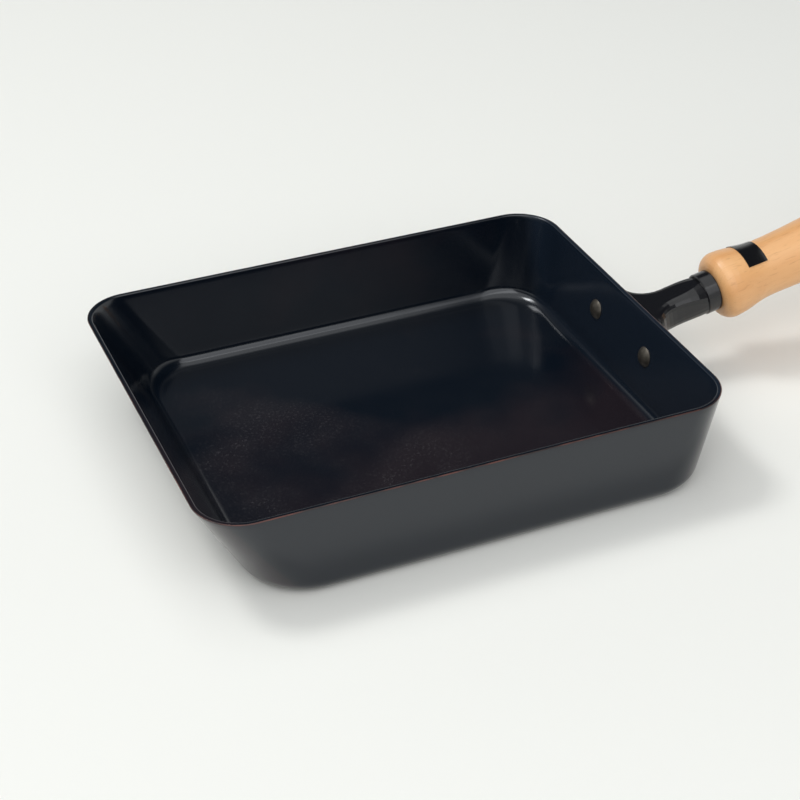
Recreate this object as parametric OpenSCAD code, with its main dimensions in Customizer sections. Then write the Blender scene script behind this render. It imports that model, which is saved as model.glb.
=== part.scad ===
// Tamagoyaki pan: a pressed iron tray with a riveted bracket and a turned wooden grip.
// Millimetres, +Z up, +X along the handle. The origin is the centre of the base's underside.

/* [Pan body] */
// Length of the rim, along the handle
rim_l = 182.5; // [165:0.5:220]
// Width of the rim, across the handle
rim_w = 145; // [120:0.5:190]
// Height of the rim over the surface that the pan stands on
pan_h = 35; // [32:0.5:48]
// Thickness of the iron sheet
sheet = 1.6; // [1:0.1:2.4]
// Slope of the short wall at the tip, from upright, in degrees
tip_draft = 28; // [12:0.5:32]
// Slope of the short wall at the handle, from upright, in degrees
handle_draft = 7.5; // [2:0.5:10]
// Slope of the two long walls, from upright, in degrees
side_draft = 2; // [1:0.5:8]
// Corner radius of the rim, seen from above
rim_corner_r = 16; // [12:0.5:22]
// Corner radius where the walls would meet the base, seen from above
base_corner_r = 21; // [15:0.5:26]
// Radius of the outer bend between the base and the walls
base_bend_r = 6; // [3.5:0.5:7]
// Rounding of the sheet's two edges at the rim
rim_round = 0.4; // [0.2:0.05:0.5]

/* [Rivets] */
// Distance between the two rivets
rivet_spacing = 35.5; // [32:0.5:42]
// Distance of the rivets below the rim
rivet_below_rim = 15; // [13.5:0.5:16.5]
// Diameter of a rivet's shank
rivet_d = 4; // [3:0.1:5]
// Diameter of the heads
rivet_head_d = 7.4; // [6.5:0.1:8.5]
// Height of the domed heads
rivet_head_h = 1.8; // [1.2:0.1:2.4]

/* [Handle bracket] */
// Angle of the handle over the level, in degrees
handle_tilt = 12; // [6:0.5:16]
// Distance below the rim at which the handle's axis meets the wall
neck_below_rim = 13; // [12:0.5:14.5]
// Length from the wall to the wood, along the axis
neck_len = 36.3; // [34:0.1:50]
// Thickness of the pressed bracket
bracket_t = 1.6; // [1.2:0.1:2]
// Width of the neck at its middle
neck_w = 12.8; // [12.2:0.1:14.4]
// Width of the plate and of the shelf over it
plate_w = 54; // [52:0.5:64]
// Distance from the axis down to the plate's lower edge, along the wall
plate_drop = 12.5; // [9.5:0.5:13.5]
// Distance from the wall to the shelf's front edge, along the axis
shelf_depth = 8.7; // [7:0.1:11]
// Radius of the sweep from the neck to the shelf, seen from above
flare_r = 9.5; // [6:0.5:11]
// Height of the shelf's top over the axis
shelf_h = 5.75; // [5:0.05:6.4]
// Height of the shelf's turned-down lip
lip_h = 4.4; // [3.2:0.1:5]

/* [Neck collar] */
// Outer diameter of the collar
collar_d = 15.3; // [14.8:0.1:18]
// Length of the collar
collar_len = 5.5; // [4.5:0.1:8]
// Thickness of the collar's wall round the wood's tenon
collar_wall = 1.3; // [1:0.1:1.8]
// Thickness of the web that the nut bears on
collar_web = 2; // [1.5:0.1:2.5]

/* [Tie rod] */
// Diameter of the threaded rod
rod_d = 5; // [4:0.5:5]
// Width of the neck nut across its flats
nut_flats = 8; // [7.5:0.5:8.5]
// Thickness of the neck nut
nut_h = 4; // [3:0.5:6]

/* [Grip] */
// Length of the wooden grip, without its tenon
grip_len = 130; // [105:1:150]
// Diameter of the bulb at the front
bulb_d = 25; // [22:0.5:30]
// Distance of the widest part of the bulb from the front face
bulb_at = 4.7; // [3.5:0.1:7]
// Diameter of the waist behind the bulb
waist_d = 21; // [18.5:0.5:24]
// Distance of the waist from the front face
waist_at = 20.5; // [17:0.5:27]
// Diameter of the belly, the widest part in the hand
belly_d = 28; // [24:0.5:32]
// Distance of the belly from the front face
belly_at = 88; // [60:1:92]
// Diameter of the grip just before its rounded tail end
tail_d = 23.5; // [20:0.5:28]
// Length of the rounding at the tail end
tail_round = 6; // [4:0.5:9]
// Diameter of the flat seat of the tail washer
tail_seat_d = 16; // [14:0.5:18]

/* [Grip label] */
// Length of the label along the grip
label_len = 8.1; // [6:0.1:12]
// Angle that the label wraps over the top of the grip, in degrees
label_wrap = 84; // [60:1:120]
// Distance of the label from the front face
label_at = 11.7; // [9:0.1:16]
// Thickness of the label
label_t = 0.25; // [0.15:0.05:0.5]

/* [Tail fittings] */
// Thickness of the tail washer
washer_t = 1.5; // [1:0.1:2.5]
// Diameter of the eye's boss
boss_d = 10; // [9:0.5:12]
// Length of the eye's boss
boss_len = 9; // [7:0.5:12]
// Diameter of the hanging hole
eye_bore_d = 9; // [7:0.5:10]
// Width of the metal round the hanging hole
eye_rim = 5.5; // [5:0.5:7]
// Thickness of the eye
eye_t = 5; // [4:0.5:6]

/* [Clearances] */
// Play of a shank or rod in its hole, on the diameter
hole_play = 0.1; // [0.05:0.05:0.3]
// Play of the rod in the wood and the tenon in the collar, on the diameter
wood_play = 0.5; // [0.3:0.1:0.8]
// Thickness of the glue under the label
glue_t = 0.05; // [0.02:0.01:0.1]

/* [Hidden] */
$fn = 96;
iron_black = [0.10, 0.10, 0.12];
paint_black = [0.07, 0.07, 0.08];
steel = [0.62, 0.61, 0.58];
beech = [0.85, 0.67, 0.44];
label_black = [0.06, 0.06, 0.07];
// A cut reaches this far past the solid that it cuts
past = 1;

// Pan body
base_l = rim_l - pan_h * (tan(tip_draft) + tan(handle_draft));
base_w = rim_w - 2 * pan_h * tan(side_draft);
corner_steps = 14;
bend_steps = 6;

// Frame of the handle: its axis leaves the outside of the wall at the root
root_z = pan_h - neck_below_rim;
root_x = base_l / 2 + root_z * tan(handle_draft);
wall_lean = handle_draft + handle_tilt;
rivet_v = (neck_below_rim - rivet_below_rim) / cos(handle_draft);

// Bracket, in the frame of the handle
collar_at = neck_len - collar_len;
neck_end_w = collar_d - 0.9;
shelf_slope = 0.02;
sweep_x = shelf_depth + flare_r;
sweep_y = neck_w / 2 + flare_r;
shelf_end_r = 6.5;
shelf_end_y = plate_w / 2 - 0.5 - shelf_end_r;
shelf_fall = 0.5;
shelf_edge_r = 2.2;
neck_edge_r = 3;
neck_low_r = 4.7;
neck_floor = -(collar_d / 2 - 1.5);
rib_inset = 0.12;
plate_corner_r = 7;

// Grip, from its front face
tenon_d = collar_d - 2 * collar_wall - wood_play;
tenon_len = collar_len - collar_web - wood_play / 2;
front_seat_d = collar_d + 0.8;
rod_bore_d = rod_d + wood_play;
tail_seat_x = neck_len + grip_len;
washer_end = tail_seat_x + washer_t;

// Hanging eye
rod_seat = boss_len - 2;
eye_x = washer_end + boss_len + eye_bore_d / 2;

function mix(a, b, t) = a + (b - a) * t;
function ease(t) = (1 - cos(180 * t)) / 2;
function clamp01(t) = min(1, max(0, t));

// Horizontal distance of a wall from its foot line at height z, with bend radius r and slope d
function wall_off(z, r, d) =
    z >= r * (1 - sin(d)) ? z * tan(d) : sqrt(r * r - pow(r - max(z, 0), 2)) - r * tan(45 - d / 2);

// Offsets of the tip wall, handle wall and long walls of a skin of the sheet at height z
function skin_offs(z, inner) = [for (d = [tip_draft, handle_draft, side_draft])
    let (t = inner * sheet) t * (tan(d) - 1 / cos(d)) + wall_off(z - t, base_bend_r - t, d)];

// One closed line round a skin at height z, pulled in by a little for the rounded rim
function skin_ring(z, inner, pull) =
    let (o = skin_offs(z, inner),
         r = mix(base_corner_r, rim_corner_r, z / pan_h) - inner * sheet - pull,
         x_lo = -base_l / 2 - o[0] + pull, x_hi = base_l / 2 + o[1] - pull,
         y_hi = base_w / 2 + o[2] - pull)
    [for (q = [0 : 3], i = [0 : corner_steps])
        let (a = 90 * (q + i / corner_steps),
             cx = (q == 0 || q == 3) ? x_hi - r : x_lo + r,
             cy = q < 2 ? y_hi - r : r - y_hi)
        [cx + r * cos(a), cy + r * sin(a), z]];

// Faces between rings of n points each, closed at both ends
function loft_faces(rings, n) = concat(
    [[for (i = [0 : n - 1]) i]],
    [for (j = [0 : rings - 2], i = [0 : n - 1])
        let (k = (i + 1) % n) [j * n + i, (j + 1) * n + i, (j + 1) * n + k]],
    [for (j = [0 : rings - 2], i = [0 : n - 1])
        let (k = (i + 1) % n) [j * n + i, (j + 1) * n + k, j * n + k]],
    [[for (i = [n - 1 : -1 : 0]) (rings - 1) * n + i]]);

module on_wall() {
    translate([root_x, 0, root_z]) rotate([0, handle_draft, 0]) children();
}

module on_axis() {
    translate([root_x, 0, root_z]) rotate([0, -handle_tilt, 0]) children();
}

// Turns a shape drawn up the Z axis to lie along the handle's axis
module turned() {
    on_axis() rotate([0, 90, 0]) children();
}

module at_rivets() {
    on_wall() for (side = [-1, 1]) translate([0, side * rivet_spacing / 2, rivet_v])
        rotate([0, 90, 0]) children();
}

module pan_body() {
    bends = [for (i = [0 : bend_steps]) 1 - cos(90 * i / bend_steps)];
    outer = concat([for (b = bends) skin_ring(b * base_bend_r, 0, 0)],
        [skin_ring(pan_h - rim_round, 0, 0), skin_ring(pan_h - 0.3 * rim_round, 0, 0.3 * rim_round),
         skin_ring(pan_h, 0, rim_round)]);
    inner = concat([skin_ring(pan_h, 1, -rim_round), skin_ring(pan_h - 0.3 * rim_round, 1, -0.3 * rim_round),
         skin_ring(pan_h - rim_round, 1, 0)],
        [for (i = [bend_steps : -1 : 0]) skin_ring(sheet + bends[i] * (base_bend_r - sheet), 1, 0)]);
    rings = concat(outer, inner);
    color(iron_black) difference() {
        polyhedron([for (ring = rings, p = ring) p], loft_faces(len(rings), len(rings[0])),
            convexity = 4);
        at_rivets() translate([0, 0, -sheet - past])
            cylinder(d = rivet_d + hole_play, h = sheet + 2 * past);
    }
}

// Domed head of a rivet, standing on the XY plane
module rivet_head() {
    ball_r = (pow(rivet_head_d / 2, 2) + pow(rivet_head_h, 2)) / (2 * rivet_head_h);
    intersection() {
        translate([0, 0, rivet_head_h - ball_r]) sphere(r = ball_r);
        cylinder(d = rivet_head_d, h = rivet_head_h + past);
    }
}

module rivets() {
    color(steel) at_rivets() {
        translate([0, 0, -sheet]) cylinder(d = rivet_d, h = sheet + bracket_t);
        translate([0, 0, bracket_t]) rivet_head();
        translate([0, 0, -sheet]) mirror([0, 0, 1]) rivet_head();
    }
}

// Half outline of the bracket seen from above, from the collar back to the wall.
// Each entry is [x, y, direction of the outward normal, place from 0 at the shelf to 1 at the collar]
function bracket_outline() = concat(
    [for (i = [0 : 4]) let (t = i / 4)
        [mix(collar_at, sweep_x, t), mix(neck_end_w, neck_w, ease(t)) / 2, 90, 1 - 0.6 * t]],
    [for (i = [1 : 8]) let (a = 90 * i / 8)
        [sweep_x - flare_r * sin(a), sweep_y - flare_r * cos(a), 90 - a, 0.4 * (1 - i / 8)]],
    [for (i = [0 : 5]) let (a = 90 * i / 5)
        [shelf_depth - shelf_fall - shelf_end_r * (1 - cos(a)), shelf_end_y + shelf_end_r * sin(a), a, 0]],
    [[-past - shelf_h * tan(wall_lean) / 2, plate_w / 2 - 0.5, 90, 0]]);

// Height of the top face over the axis at station x
function top_at(x) = shelf_h + shelf_slope * (x - shelf_depth);

// Profile down one side of the bracket as [inset, height], of the outer or the inner skin
function side_profile(p, inner) =
    let (t = inner * bracket_t, s = p[3], top = top_at(p[0]),
         edge_r = s > 0.4 ? mix(neck_edge_r, collar_d / 2 - 2, pow((s - 0.4) / 0.6, 2))
                          : mix(shelf_edge_r, neck_edge_r, s / 0.4),
         low = mix(top - lip_h, neck_floor, ease(clamp01(2.5 * s))),
         curl = mix(25, 70, clamp01(2.5 * s)),
         low_r = s > 0.4 ? mix(neck_low_r, collar_d / 2 - 2, (s - 0.4) / 0.6)
                         : mix(shelf_edge_r, neck_low_r, s / 0.4))
    concat(
        [for (i = [0 : 4]) let (a = 90 - 90 * i / 4)
            [edge_r - (edge_r - t) * cos(a), top - edge_r + (edge_r - t) * sin(a)]],
        [for (i = [0 : 4]) let (a = curl * i / 4, y0 = low + low_r * sin(curl))
            [low_r - (low_r - t) * cos(a), y0 - (low_r - t) * sin(a)]]);

// Closed loop of the sheet at one place of the outline
function bracket_loop(p) =
    let (outer = side_profile(p, 0), inner = side_profile(p, 1), n = len(outer),
         nx = cos(p[2]), ny = sin(p[2]))
    concat(
        [for (i = [n - 1 : -1 : 0]) [p[0] - nx * outer[i][0], -p[1] + ny * outer[i][0], outer[i][1]]],
        [for (i = [0 : n - 1]) [p[0] - nx * outer[i][0], p[1] - ny * outer[i][0], outer[i][1]]],
        [for (i = [n - 1 : -1 : 0]) [p[0] - nx * inner[i][0], p[1] - ny * inner[i][0], inner[i][1]]],
        [for (i = [0 : n - 1]) [p[0] - nx * inner[i][0], -p[1] + ny * inner[i][0], inner[i][1]]]);

module bracket_shell() {
    loops = [for (p = bracket_outline()) bracket_loop(p)];
    polyhedron([for (l = loops, p = l) p], loft_faces(len(loops), len(loops[0])), convexity = 8);
}

module bracket_plate() {
    plate_top = top_at(0) / cos(wall_lean) - 0.5;
    w = plate_w / 2;
    rotate([90, 0, 90]) linear_extrude(bracket_t) {
        polygon([[-w, plate_corner_r - plate_drop], [w, plate_corner_r - plate_drop],
                 [w, plate_top], [-w, plate_top]]);
        translate([plate_corner_r - w, -plate_drop]) square([2 * (w - plate_corner_r), plate_corner_r]);
        for (side = [-1, 1]) translate([side * (w - plate_corner_r), plate_corner_r - plate_drop])
            circle(r = plate_corner_r);
    }
}

module handle_bracket() {
    rib_y = neck_w / 2 - rib_inset;
    rib_low = neck_floor + neck_low_r;
    wall_block = 4 * plate_w;
    color(paint_black) difference() {
        union() {
            on_axis() bracket_shell();
            on_wall() bracket_plate();
            on_axis() for (side = [-1, 1]) translate([-past, side * (rib_y - bracket_t / 2), 0])
                rotate([90, 0, 0]) linear_extrude(bracket_t, center = true)
                    polygon([[-2 * past, rib_low - 3], [past, rib_low - 3], [sweep_x, rib_low],
                             [sweep_x, 0], [past, top_at(0) - bracket_t / 2],
                             [-2 * past, top_at(0) - bracket_t / 2]]);
        }
        on_wall() translate([-wall_block, -wall_block / 2, -wall_block / 2])
            cube(wall_block);
        at_rivets() translate([0, 0, -past])
            cylinder(d = rivet_d + hole_play, h = bracket_t + 2 * past);
    }
}

module neck_collar() {
    cup_r = collar_d / 2 - collar_wall;
    chamfer = 0.35;
    r = collar_d / 2;
    hole_r = (rod_d + wood_play) / 2;
    color(paint_black) turned() rotate_extrude()
        polygon([[hole_r, collar_at], [r - chamfer, collar_at], [r, collar_at + chamfer],
                 [r, neck_len - chamfer], [r - chamfer, neck_len], [cup_r, neck_len],
                 [cup_r, collar_at + collar_web], [hole_r, collar_at + collar_web]]);
}

module neck_nut() {
    color(steel) turned() translate([0, 0, collar_at - nut_h]) difference() {
        cylinder(d = nut_flats / cos(30), h = nut_h, $fn = 6);
        translate([0, 0, -past]) cylinder(d = rod_d + hole_play, h = nut_h + 2 * past);
    }
}

module tie_rod() {
    start = collar_at - nut_h - 1;
    color(steel) turned() translate([0, 0, start])
        cylinder(d = rod_d, h = washer_end + rod_seat - start);
}

// Radius of the grip at distance x from its front face
function grip_r(x) =
    x < bulb_at ? mix(front_seat_d, bulb_d, sqrt(1 - pow((bulb_at - x) / bulb_at, 2))) / 2 :
    x < waist_at ? mix(bulb_d, waist_d, ease((x - bulb_at) / (waist_at - bulb_at))) / 2 :
    x < belly_at ? mix(waist_d, belly_d, ease((x - waist_at) / (belly_at - waist_at))) / 2 :
    x < grip_len - tail_round
        ? mix(belly_d, tail_d, ease(0.8 * (x - belly_at) / (grip_len - tail_round - belly_at))) / 2
        : let (start = mix(belly_d, tail_d, ease(0.8)),
               t = clamp01((x - grip_len + tail_round) / tail_round))
          mix(tail_seat_d, start, sqrt(1 - t * t)) / 2;

// Stations of the grip's outline, close together where it is rounded
function grip_stations() = concat(
    [for (a = [0 : 11.25 : 78.75]) bulb_at * (1 - cos(a))],
    [for (i = [0 : 50]) mix(bulb_at, grip_len - tail_round, i / 50)],
    [for (a = [11.25 : 11.25 : 90]) grip_len - tail_round * (1 - sin(a))]);

module grip() {
    outline = [for (x = grip_stations()) [grip_r(x), neck_len + x]];
    color(beech) turned() rotate_extrude()
        polygon(concat(
            [[rod_bore_d / 2, neck_len - tenon_len], [tenon_d / 2, neck_len - tenon_len],
             [tenon_d / 2, neck_len]],
            outline,
            [[rod_bore_d / 2, tail_seat_x]]));
}

module grip_label() {
    stations = [for (i = [0 : 8]) label_at + label_len * i / 8];
    color(label_black) turned() rotate([0, 0, 180 - label_wrap / 2])
        rotate_extrude(angle = label_wrap)
            polygon(concat(
                [for (x = stations) [grip_r(x) + glue_t, neck_len + x]],
                [for (i = [8 : -1 : 0]) [grip_r(stations[i]) + glue_t + label_t, neck_len + stations[i]]]));
}

module tail_washer() {
    r = tail_seat_d / 2 - 0.5;
    bevel = washer_t / 2;
    color(steel) turned() rotate_extrude()
        polygon([[(rod_d + wood_play) / 2, tail_seat_x], [r, tail_seat_x], [r, washer_end - bevel],
                 [r - bevel, washer_end], [(rod_d + wood_play) / 2, washer_end]]);
}

module hanging_eye() {
    ring_mid = eye_bore_d / 2 + eye_rim - eye_t / 2;
    color(steel) on_axis() difference() {
        union() {
            translate([washer_end, 0, 0]) rotate([0, 90, 0])
                cylinder(d = boss_d, h = boss_len - eye_rim + eye_t / 2 + past);
            translate([eye_x, 0, 0]) rotate_extrude() {
                translate([0, -eye_t / 2]) square([ring_mid, eye_t]);
                translate([ring_mid, 0]) circle(d = eye_t);
            }
        }
        translate([eye_x, 0, -boss_d]) cylinder(d = eye_bore_d, h = 2 * boss_d);
        translate([washer_end - past, 0, 0]) rotate([0, 90, 0])
            cylinder(d = rod_d + hole_play, h = rod_seat + past);
    }
}

pan_body();
rivets();
handle_bracket();
neck_collar();
neck_nut();
tie_rod();
grip();
grip_label();
tail_washer();
hanging_eye();
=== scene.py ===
# Tamagoyaki pan: a blackened iron egg pan on a riveted bracket, with a turned beech grip.
# The scene is in metres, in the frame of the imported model.
import math

import bmesh
import bpy
from mathutils import Matrix, Vector


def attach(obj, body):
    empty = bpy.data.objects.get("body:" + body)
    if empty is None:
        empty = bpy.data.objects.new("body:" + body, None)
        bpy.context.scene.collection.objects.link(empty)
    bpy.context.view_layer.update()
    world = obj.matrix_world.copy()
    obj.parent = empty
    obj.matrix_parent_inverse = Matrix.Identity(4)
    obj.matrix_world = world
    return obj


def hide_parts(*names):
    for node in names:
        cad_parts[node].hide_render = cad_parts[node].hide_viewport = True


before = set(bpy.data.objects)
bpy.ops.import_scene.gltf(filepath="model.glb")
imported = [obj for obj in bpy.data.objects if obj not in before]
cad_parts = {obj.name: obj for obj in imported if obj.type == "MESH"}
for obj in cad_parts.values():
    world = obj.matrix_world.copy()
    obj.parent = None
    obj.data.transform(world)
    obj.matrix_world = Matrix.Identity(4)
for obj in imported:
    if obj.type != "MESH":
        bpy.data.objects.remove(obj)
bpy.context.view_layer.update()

# Camera. It stands in front of the tip's left corner and looks down at the pan, where the
# photograph was taken from. Its place, turn and lens were solved from the pan's rim and base.
CAMERA_AT = Vector((-0.21325, -0.48140, 0.36550))
LOOK = Vector((0.3295, 0.7623, -0.5571)).normalized()
UP = Vector((0.2193, 0.5121, 0.8304))
SIDE = LOOK.cross(UP).normalized()
SENSOR_MM = 36.0
FOCAL_PIXELS, IMAGE_PIXELS = 1826.7, 800.0
NEAREST_SEEN = 0.02
camera_data = bpy.data.cameras.new("camera")
camera_data.sensor_width = SENSOR_MM
camera_data.lens = SENSOR_MM * (FOCAL_PIXELS / IMAGE_PIXELS)
camera_data.clip_start = NEAREST_SEEN
camera = bpy.data.objects.new("camera", camera_data)
bpy.context.scene.collection.objects.link(camera)
camera.matrix_world = Matrix.Translation(CAMERA_AT) @ Matrix(
    (SIDE, SIDE.cross(LOOK), -LOOK)).transposed().to_4x4()
bpy.context.scene.camera = camera

# Floor and light. A round sheet of matt pale paper under a wide soft box overhead, a small window
# behind on the left and a wide fill from the camera's side. The room is pale near the floor and
# dark above, which keeps the pan's floor dark.
FLOOR_RADIUS, FLOOR_SIDES, FLOOR_DROP = 1.35, 96, 0.0001
PAN_PLACE = Vector((0.0, 0.0, 0.0))
PALE_BELOW, DARK_ABOVE = 0.20, 0.52


def linear(code):
    """A linear colour with alpha from an sRGB hex code."""
    parts = [int(code[i:i + 2], 16) / 255 for i in (0, 2, 4)]
    return [p / 12.92 if p <= 0.04045 else ((p + 0.055) / 1.055) ** 2.4 for p in parts] + [1.0]


def add_node(tree, kind, sockets=(), stops=(), **settings):
    """Adds a node with its settings, which name its own fields or its inputs.

    sockets pairs an input with the output to link to it, or with its value. stops gives the two
    places and colours of a colour ramp.
    """
    node = tree.nodes.new(kind)
    for key, value in settings.items():
        if hasattr(node, key):
            setattr(node, key, value)
        else:
            node.inputs[key.replace("_", " ")].default_value = value
    for key, source in sockets:
        if isinstance(source, bpy.types.NodeSocket):
            tree.links.new(source, node.inputs[key])
        else:
            node.inputs[key].default_value = source
    for stop, (position, code) in enumerate(stops):
        node.color_ramp.elements[stop].position = position
        node.color_ramp.elements[stop].color = linear(code)
    return node


def new_finish(name, **settings):
    """A material with one Principled shader, and its constants set on the shader's own sockets."""
    material = bpy.data.materials.new(name)
    material.use_nodes = True
    shader = material.node_tree.nodes["Principled BSDF"]
    for key, value in settings.items():
        shader.inputs[key.replace("_", " ")].default_value = value
    return material, material.node_tree, shader


def soft_box(name, at, size, watts, tint):
    """A rectangular soft light that faces the pan."""
    data = bpy.data.lights.new(name, "AREA")
    data.shape = "RECTANGLE"
    data.size, data.size_y = size
    data.energy = watts
    data.color = linear(tint)[:3]
    lamp = bpy.data.objects.new(name, data)
    bpy.context.scene.collection.objects.link(lamp)
    lamp.location = at
    lamp.rotation_euler = (PAN_PLACE - Vector(at)).to_track_quat("-Z", "Y").to_euler()


sweep_paper, tree, shader = new_finish(
    "matt_paper_sweep", Base_Color=linear("ECECE8"), Roughness=0.9, Specular_IOR_Level=0.1)
bpy.ops.object.select_all(action="DESELECT")
bpy.ops.mesh.primitive_circle_add(
    vertices=FLOOR_SIDES, radius=FLOOR_RADIUS, fill_type="NGON", location=(0, 0, -FLOOR_DROP))
floor = bpy.context.object
floor.name = "floor"
bpy.ops.object.transform_apply(location=True, rotation=True, scale=True)
floor.data.materials.append(sweep_paper)
soft_box("overhead_soft_box", (-0.40, -0.05, 1.60), (2.6, 2.4), 22.0, "FDFEFD")
soft_box("window_behind_left", (-0.65, 0.55, 1.50), (0.40, 0.40), 8.5, "FDFEFC")
soft_box("camera_side_fill", (-0.30, -1.35, 1.25), (2.4, 1.6), 19.0, "FCFDFE")
world = bpy.data.worlds.new("dim_studio")
world.use_nodes = True
sky = world.node_tree
way = add_node(sky, "ShaderNodeTexCoord").outputs["Generated"]
rise_of_ray = add_node(sky, "ShaderNodeSeparateXYZ", [("Vector", way)]).outputs["Z"]
room = add_node(sky, "ShaderNodeValToRGB", [("Fac", rise_of_ray)],
                stops=[(PALE_BELOW, "E6E8E6"), (DARK_ABOVE, "2C3239")]).outputs["Color"]
sky.links.new(room, sky.nodes["Background"].inputs["Color"])
bpy.context.scene.world = world
bpy.context.scene.view_settings.view_transform = "Standard"

# Pan body. One sheet of 1.6 mm iron, pressed into a tray with a sloping tip wall, then oxidised
# black all over. The wall dips a little round the rivets, which pull it out. Its sizes are the
# solid's, in millimetres.
MM = 0.001
RIM_L, RIM_W, PAN_H, SHEET = 182.5, 145.0, 35.0, 1.6
TIP_DRAFT, HANDLE_DRAFT, SIDE_DRAFT = (math.radians(a) for a in (28.0, 7.5, 2.0))
RIM_CORNER_R, BASE_CORNER_R, BEND_R, RIM_ROUND = 16.0, 21.0, 6.0, 0.4
RIVET_Y, RIVET_Z = 17.75, 20.0
DENT_DEPTH, DENT_SPREAD, DENT_REACH = 0.16, 6.5, 4.0
CORNER_STEPS, SIDE_STEPS, BEND_STEPS, WALL_STEPS, RIM_STEPS = 20, 28, 14, 14, 4
# Two rings round each flat keep the shading of the bend out of it
FLAT_EDGE, FLAT_RING = 0.4, 3.0
SMOOTH_BELOW = math.radians(50)
base_l = RIM_L - PAN_H * (math.tan(TIP_DRAFT) + math.tan(HANDLE_DRAFT))
base_w = RIM_W - 2 * PAN_H * math.tan(SIDE_DRAFT)


def wall_off(z, bend, draft):
    """How far a wall stands outside its foot line at height z."""
    if z >= bend * (1 - math.sin(draft)):
        return z * math.tan(draft)
    drop = bend - max(z, 0.0)
    return math.sqrt(bend * bend - drop * drop) - bend * math.tan(math.pi / 4 - draft / 2)


def skin_line(z, inner, pull):
    """The closed line round the outer or inner skin at height z, pulled in at the rounded rim."""
    step = inner * SHEET
    tip, handle, side = (
        step * (math.tan(d) - 1 / math.cos(d)) + wall_off(z - step, BEND_R - step, d)
        for d in (TIP_DRAFT, HANDLE_DRAFT, SIDE_DRAFT))
    radius = BASE_CORNER_R + (RIM_CORNER_R - BASE_CORNER_R) * z / PAN_H - step - pull
    low_x, high_x = -base_l / 2 - tip + pull, base_l / 2 + handle - pull
    high_y = base_w / 2 + side - pull
    centres = [(high_x - radius, high_y - radius), (low_x + radius, high_y - radius),
               (low_x + radius, radius - high_y), (high_x - radius, radius - high_y)]
    line = []
    for corner, (x, y) in enumerate(centres):
        turns = [math.pi / 2 * (corner + i / CORNER_STEPS) for i in range(CORNER_STEPS + 1)]
        line += [(x + radius * math.cos(a), y + radius * math.sin(a)) for a in turns]
        start_x, start_y = line[-1]
        next_x, next_y = centres[(corner + 1) % 4]
        run_x = next_x + radius * math.cos(turns[-1]) - start_x
        run_y = next_y + radius * math.sin(turns[-1]) - start_y
        line += [(start_x + run_x * i / SIDE_STEPS, start_y + run_y * i / SIDE_STEPS)
                 for i in range(1, SIDE_STEPS)]
    points = []
    for x, y in line:
        if inner and x > high_x - DENT_REACH:
            away = ((abs(y) - RIVET_Y) ** 2 + (z - RIVET_Z) ** 2) / (2 * DENT_SPREAD ** 2)
            x += DENT_DEPTH * math.exp(-away)
        points.append((x * MM, y * MM, z * MM))
    return points


def ring_heights(low):
    """The heights of the lines up one skin, from its flat to just under the rounded rim."""
    bend = [low + (BEND_R - low) * (1 - math.cos(math.pi / 2 * i / BEND_STEPS))
            for i in range(BEND_STEPS + 1)]
    rise = PAN_H - RIM_ROUND - BEND_R
    return bend + [BEND_R + rise * (i / WALL_STEPS) for i in range(1, WALL_STEPS)]


# Up the outer skin, over the rounded rim and down the inner skin: height, skin and pull of each
rim_turns = [math.pi / 2 * i / RIM_STEPS for i in range(RIM_STEPS + 1)]
rim_rings = [(PAN_H - RIM_ROUND * (1 - math.sin(a)), RIM_ROUND * (1 - math.cos(a)))
             for a in rim_turns]
skins = [(z, 0, 0.0) for z in ring_heights(0.0)]
skins += [(z, 0, pull) for z, pull in rim_rings]
skins += [(z, 1, -pull) for z, pull in reversed(rim_rings)]
skins += [(z, 1, 0.0) for z in reversed(ring_heights(SHEET))]

# A disc is laid on the first line, and one extrusion draws it on to each line after that. Each of
# its corners holds a station, by which its copies find their place on a line.
first = skin_line(*skins[0])
bpy.ops.object.select_all(action="DESELECT")
bpy.ops.mesh.primitive_circle_add(
    vertices=len(first), radius=base_l / 2 * MM, fill_type="NGON")
pan = bpy.context.object
pan.name = "pressed_iron_tray"
bpy.ops.object.mode_set(mode="EDIT")
bm = bmesh.from_edit_mesh(pan.data)
station = bm.verts.layers.int.new("station")
turned = sorted(bm.verts, key=lambda vert: math.atan2(vert.co.y, vert.co.x) % math.tau)
for i, vert in enumerate(turned):
    vert[station] = i
    vert.co = first[i]
bmesh.update_edit_mesh(pan.data)
for skin in skins[1:]:
    bpy.ops.mesh.extrude_region_move()
    bm = bmesh.from_edit_mesh(pan.data)
    station = bm.verts.layers.int["station"]
    line = skin_line(*skin)
    for vert in bm.verts:
        if vert.select:
            vert.co = line[vert[station]]
    bmesh.update_edit_mesh(pan.data)
bpy.ops.mesh.inset(thickness=FLAT_EDGE * MM)
bpy.ops.mesh.inset(thickness=FLAT_RING * MM)
bpy.ops.mesh.select_all(action="DESELECT")
bm = bmesh.from_edit_mesh(pan.data)
for face in bm.faces:
    if len(face.verts) > 4 and face.calc_center_median().z < SHEET / 2 * MM:
        face.select = True
bmesh.update_edit_mesh(pan.data)
bpy.ops.mesh.inset(thickness=FLAT_EDGE * MM)
bpy.ops.mesh.inset(thickness=FLAT_RING * MM)
bpy.ops.mesh.select_all(action="SELECT")
bpy.ops.mesh.normals_make_consistent(inside=False)
bpy.ops.object.mode_set(mode="OBJECT")
bpy.ops.object.shade_smooth_by_angle(angle=SMOOTH_BELOW)

# Oxidised iron: a layer of black magnetite, grown on smooth pressed sheet in a hot bath. It is dark
# and satin, brown on the near part of the floor, with rub marks and fine pale dust. Its blue cast,
# strongest and lightest on the handle wall, is painted reflection of a bluish room. The patterns'
# sizes and the places of the tints and the dust are in millimetres.
CAST_SIZE, DUST_PATCH_SIZE, RUB_SIZE = 55.56, 33.33, 16.67
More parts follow.
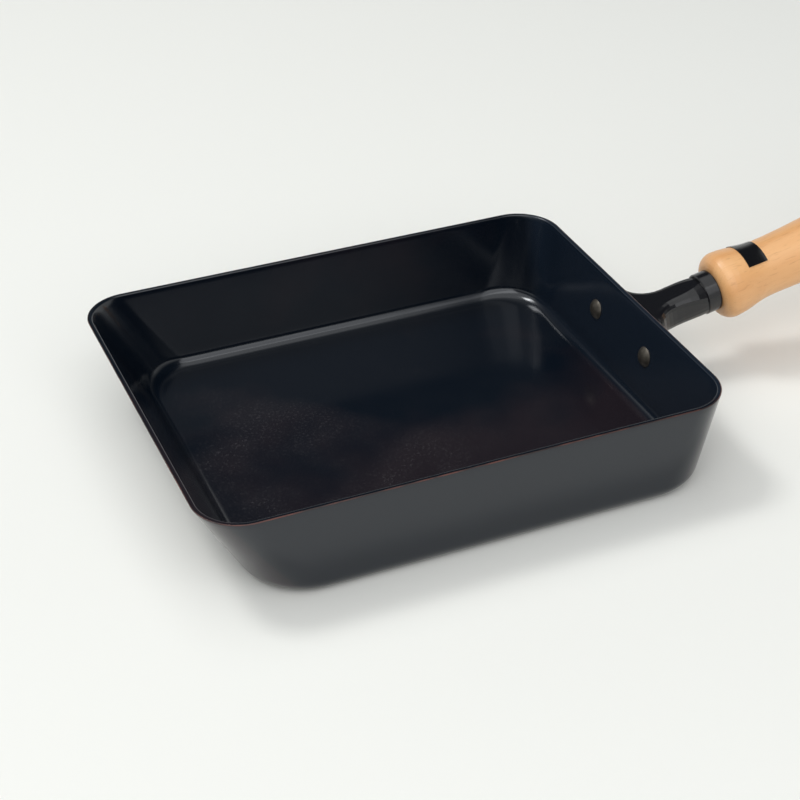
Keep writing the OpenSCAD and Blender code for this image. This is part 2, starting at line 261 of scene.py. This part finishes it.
# Dust and the grain of the layer are much finer in life. They are drawn coarse enough to show
DUST_SIZE, GRAIN_SIZE, GRAIN_DEPTH = 0.9091, 0.7143, 0.02
NEAR_WALL_OUTSIDE, NEAR_WALL_INSIDE = -70.5, -69.5
# The handle wall's foot, the end of the tints, and where the handle wall's painted reflection is
# full
HANDLE_WALL_FOOT, TINT_END, WALL_REFLECTION_FULL = 76.0, 79.0, 79.5
BROWN_START, BROWN_FULL = 40.0, -45.0
DUST_START, DUST_FULL = 25.0, -45.0
DUST_TOP, DUST_LEVEL = 7.0, 4.0


def per_metre(size_mm):
    """The scale of a pattern whose features are size_mm across."""
    return 1 / (size_mm * MM)


oxidised_iron, tree, shader = new_finish(
    "oxidised_black_iron", IOR=1.62, Metallic=0.0, Roughness=0.16,
    Specular_Tint=linear("F4F6FA"))
place = add_node(tree, "ShaderNodeTexCoord").outputs["Object"]
spot = add_node(tree, "ShaderNodeSeparateXYZ", [("Vector", place)]).outputs
inside_y = add_node(
    tree, "ShaderNodeMapRange", [("Value", spot["Y"])],
    From_Min=NEAR_WALL_OUTSIDE * MM, From_Max=NEAR_WALL_INSIDE * MM).outputs["Result"]
inside_x = add_node(
    tree, "ShaderNodeMapRange", [("Value", spot["X"])],
    From_Min=TINT_END * MM, From_Max=HANDLE_WALL_FOOT * MM).outputs["Result"]
inside = add_node(tree, "ShaderNodeMath", [(0, inside_y), (1, inside_x)],
                  operation="MULTIPLY").outputs[0]
cast_noise = add_node(tree, "ShaderNodeTexNoise", [("Vector", place)],
                      Scale=per_metre(CAST_SIZE), Detail=3.0, Roughness=0.5).outputs["Fac"]
near_half = add_node(
    tree, "ShaderNodeMapRange", [("Value", spot["Y"])],
    From_Min=BROWN_START * MM, From_Max=BROWN_FULL * MM,
    To_Min=-0.18, To_Max=0.22).outputs["Result"]
brown_sum = add_node(tree, "ShaderNodeMath", [(0, cast_noise), (1, near_half)],
                     operation="ADD").outputs[0]
brown = add_node(tree, "ShaderNodeMath", [(0, brown_sum), (1, inside)],
                 operation="MULTIPLY").outputs[0]
# The blue of the darker stop is painted reflection of a bluish room.
tint = add_node(tree, "ShaderNodeValToRGB", [("Fac", brown)],
                stops=[(0.38, "080F18"), (0.68, "1F191E")]).outputs["Color"]
# Painted reflection: the inside of the handle wall is mixed towards a lighter blue
handle_wall = add_node(
    tree, "ShaderNodeMapRange", [("Value", spot["X"])],
    From_Min=HANDLE_WALL_FOOT * MM, From_Max=WALL_REFLECTION_FULL * MM,
    To_Min=0.0, To_Max=0.75).outputs["Result"]
painted_reflection_mask = add_node(tree, "ShaderNodeMath", [(0, handle_wall), (1, inside_y)],
                       operation="MULTIPLY").outputs[0]
with_painted_reflection = add_node(tree, "ShaderNodeMix", [(0, painted_reflection_mask), (6, tint), (7, linear("17202C"))],
                 data_type="RGBA").outputs[2]
dust_noise = add_node(tree, "ShaderNodeTexNoise", [("Vector", place)],
                      Scale=per_metre(DUST_SIZE), Detail=5.0, Roughness=0.7).outputs["Fac"]
patch_noise = add_node(tree, "ShaderNodeTexNoise", [("Vector", place)],
                       Scale=per_metre(DUST_PATCH_SIZE), Detail=2.0).outputs["Fac"]
dust = add_node(tree, "ShaderNodeMapRange", [("Value", dust_noise)],
                From_Min=0.54, From_Max=0.76, To_Min=0.07, To_Max=0.9)
# The dust lies in patches, towards the tip, on the floor alone and where the floor is brown
dust_limits = [
    add_node(tree, "ShaderNodeMapRange", [("Value", patch_noise)],
             From_Min=0.40, From_Max=0.60, To_Min=0.15, To_Max=1.0),
    add_node(tree, "ShaderNodeMapRange", [("Value", spot["X"])],
             From_Min=DUST_START * MM, From_Max=DUST_FULL * MM, To_Min=0.12, To_Max=1.0),
    add_node(tree, "ShaderNodeMapRange", [("Value", spot["Z"])],
             From_Min=DUST_TOP * MM, From_Max=DUST_LEVEL * MM),
    add_node(tree, "ShaderNodeMapRange", [("Value", brown)],
             From_Min=0.35, From_Max=0.70, To_Min=0.0, To_Max=0.6)]
for limit in dust_limits:
    dust = add_node(tree, "ShaderNodeMath", [(0, dust.outputs[0]), (1, limit.outputs[0])],
                    operation="MULTIPLY")
dusted = add_node(tree, "ShaderNodeMix", [(0, dust.outputs[0]), (6, with_painted_reflection), (7, linear("7A787A"))],
                  data_type="RGBA").outputs[2]
tree.links.new(dusted, shader.inputs["Base Color"])
rub_noise = add_node(tree, "ShaderNodeTexNoise", [("Vector", place)],
                     Scale=per_metre(RUB_SIZE), Detail=4.0, Roughness=0.6).outputs["Fac"]
rubbed = add_node(
    tree, "ShaderNodeMapRange", [("Value", rub_noise)],
    From_Min=0.3, From_Max=0.7, To_Min=0.13, To_Max=0.19).outputs["Result"]
tree.links.new(rubbed, shader.inputs["Roughness"])
grain_noise = add_node(tree, "ShaderNodeTexNoise", [("Vector", place)],
                       Scale=per_metre(GRAIN_SIZE), Detail=2.0).outputs["Fac"]
grain = add_node(tree, "ShaderNodeBump", [("Height", grain_noise)],
                 Strength=0.08, Distance=GRAIN_DEPTH * MM).outputs["Normal"]
tree.links.new(grain, shader.inputs["Normal"])
pan.data.materials.append(oxidised_iron)

# Cut edge. The outer lip of the rim, where the sheet was cut and ground, has oxidised to a thin,
# patchy line of brown that is duller than the rest.
EDGE_PATCH_SIZE = 8.333
LIP_TURN = 0.2
brown_cut_edge, tree, shader = new_finish("brown_cut_edge", Metallic=0.2, Roughness=0.38)
place = add_node(tree, "ShaderNodeTexCoord").outputs["Object"]
rust_noise = add_node(tree, "ShaderNodeTexNoise", [("Vector", place)],
                      Scale=per_metre(EDGE_PATCH_SIZE), Detail=3.0).outputs["Fac"]
rust = add_node(tree, "ShaderNodeValToRGB", [("Fac", rust_noise)],
                stops=[(0.40, "2B1D1C"), (0.62, "5A332B")]).outputs["Color"]
tree.links.new(rust, shader.inputs["Base Color"])
pan.data.materials.append(brown_cut_edge)
for face in pan.data.polygons:
    outward = face.normal.x * face.center.x + face.normal.y * face.center.y
    on_lip = face.center.z > (PAN_H - RIM_ROUND) * MM and face.normal.z > LIP_TURN
    if on_lip and outward > 0:
        face.material_index = pan.data.materials.find(brown_cut_edge.name)
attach(pan, "root")
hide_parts("pan_body")

# Rivets. Two steel rivets whose domed heads show inside the wall, dulled by the oxidising bath.
# Dark, rough metal with a small soft highlight.
BLOTCH_SIZE = 2.0


def dress(node_names, finish):
    """Gives the solids their finish. Their shapes stay as they are."""
    for node_name in node_names:
        for material_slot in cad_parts[node_name].material_slots:
            material_slot.material = finish


dull_rivet_steel, tree, shader = new_finish(
    "oxidised_rivet_steel", Metallic=0.75, Roughness=0.46)
place = add_node(tree, "ShaderNodeTexCoord").outputs["Object"]
blotch_noise = add_node(tree, "ShaderNodeTexNoise", [("Vector", place)],
                        Scale=per_metre(BLOTCH_SIZE), Detail=3.0).outputs["Fac"]
blotches = add_node(tree, "ShaderNodeValToRGB", [("Fac", blotch_noise)],
                    stops=[(0.35, "423E38"), (0.65, "5A554E")]).outputs["Color"]
tree.links.new(blotches, shader.inputs["Base Color"])
dress(["rivets"], dull_rivet_steel)

# Handle bracket and collar. Pressed steel and a turned ring under one coat of baked black enamel
# paint: deep, glossy and almost level, with the faint ripple of a sprayed coat.
RIPPLE_SIZE, RIPPLE_DEPTH = 2.632, 0.05
baked_black_paint, tree, shader = new_finish(
    "baked_black_paint", Base_Color=linear("141417"), IOR=1.5, Roughness=0.17)
place = add_node(tree, "ShaderNodeTexCoord").outputs["Object"]
ripple_noise = add_node(tree, "ShaderNodeTexNoise", [("Vector", place)],
                        Scale=per_metre(RIPPLE_SIZE), Detail=1.0).outputs["Fac"]
ripple = add_node(tree, "ShaderNodeBump", [("Height", ripple_noise)],
                  Strength=0.12, Distance=RIPPLE_DEPTH * MM).outputs["Normal"]
tree.links.new(ripple, shader.inputs["Normal"])
dress(["handle_bracket", "neck_collar"], baked_black_paint)

# Neck nut, tie rod, tail washer and hanging eye. Zinc-plated steel that clamps the wood: pale,
# satin metal with a slightly cloudy plating.
CLOUD_SIZE = 4.545
zinc_plated_steel, tree, shader = new_finish("zinc_plated_steel", Metallic=1.0, Roughness=0.3)
place = add_node(tree, "ShaderNodeTexCoord").outputs["Object"]
cloud_noise = add_node(tree, "ShaderNodeTexNoise", [("Vector", place)],
                       Scale=per_metre(CLOUD_SIZE), Detail=4.0).outputs["Fac"]
clouds = add_node(tree, "ShaderNodeValToRGB", [("Fac", cloud_noise)],
                  stops=[(0.35, "B4B2AC"), (0.65, "C9C8C4")]).outputs["Color"]
tree.links.new(clouds, shader.inputs["Base Color"])
cloud_gloss = add_node(
    tree, "ShaderNodeMapRange", [("Value", cloud_noise)],
    From_Min=0.3, From_Max=0.7, To_Min=0.24, To_Max=0.36).outputs["Result"]
tree.links.new(cloud_gloss, shader.inputs["Roughness"])
dress(["neck_nut", "tie_rod", "tail_washer", "hanging_eye"], zinc_plated_steel)

# Grip. Turned from one billet of steamed beech and rubbed with oil: warm and satin, with faint
# growth bands and the short dark flecks of beech, which all run along the handle.
HANDLE_TILT = math.radians(12.0)
# Across the grain, in millimetres, and how far both are drawn out along it. The flecks are a
# little coarser than in life, so that they show
FLECK_SIZE, FLECK_DRAW, FLECK_DEPTH = 0.5263, 0.12, 0.03
BAND_SIZE, BAND_DRAW, BAND_RISE = 3.846, 0.05, 0.35
turned_beech, tree, shader = new_finish(
    "turned_oiled_beech", IOR=1.5, Roughness=0.42, Coat_Weight=0.3, Coat_Roughness=0.2)
place = add_node(tree, "ShaderNodeTexCoord").outputs["Object"]
along = add_node(tree, "ShaderNodeMapping", [("Vector", place)],
                 Rotation=(0.0, HANDLE_TILT, 0.0)).outputs["Vector"]
fleck_space = add_node(tree, "ShaderNodeMapping", [("Vector", along)],
                       Scale=(FLECK_DRAW, 1.0, 1.0)).outputs["Vector"]
fleck_noise = add_node(tree, "ShaderNodeTexNoise", [("Vector", fleck_space)],
                       Scale=per_metre(FLECK_SIZE), Detail=1.5).outputs["Fac"]
band_space = add_node(tree, "ShaderNodeMapping", [("Vector", along)],
                      Scale=(BAND_DRAW, 1.0, BAND_RISE)).outputs["Vector"]
band_noise = add_node(tree, "ShaderNodeTexNoise", [("Vector", band_space)],
                      Scale=per_metre(BAND_SIZE), Detail=3.0).outputs["Fac"]
bands = add_node(tree, "ShaderNodeValToRGB", [("Fac", band_noise)],
                 stops=[(0.3, "DA9F66"), (0.7, "E4B07A")]).outputs["Color"]
flecks = add_node(
    tree, "ShaderNodeMapRange", [("Value", fleck_noise)],
    From_Min=0.58, From_Max=0.74, To_Min=0.0, To_Max=0.32).outputs["Result"]
wood = add_node(tree, "ShaderNodeMix", [(0, flecks), (6, bands), (7, linear("B27C46"))],
                data_type="RGBA").outputs[2]
tree.links.new(wood, shader.inputs["Base Color"])
pores = add_node(tree, "ShaderNodeBump", [("Height", fleck_noise)],
                 Strength=0.15, Distance=FLECK_DEPTH * MM).outputs["Normal"]
tree.links.new(pores, shader.inputs["Normal"])
dress(["grip"], turned_beech)

# Label. A thin black film glued over the top of the grip, left bare: glossy, a little wavy where
# it follows the wood.
WAVE_SIZE, WAVE_DEPTH = 4.0, 0.05
bare_label_film, tree, shader = new_finish(
    "black_label_film", Base_Color=linear("121214"), IOR=1.48, Roughness=0.16)
place = add_node(tree, "ShaderNodeTexCoord").outputs["Object"]
wave_noise = add_node(tree, "ShaderNodeTexNoise", [("Vector", place)],
                      Scale=per_metre(WAVE_SIZE), Detail=1.0).outputs["Fac"]
waves = add_node(tree, "ShaderNodeBump", [("Height", wave_noise)],
                 Strength=0.1, Distance=WAVE_DEPTH * MM).outputs["Normal"]
tree.links.new(waves, shader.inputs["Normal"])
dress(["grip_label"], bare_label_film)
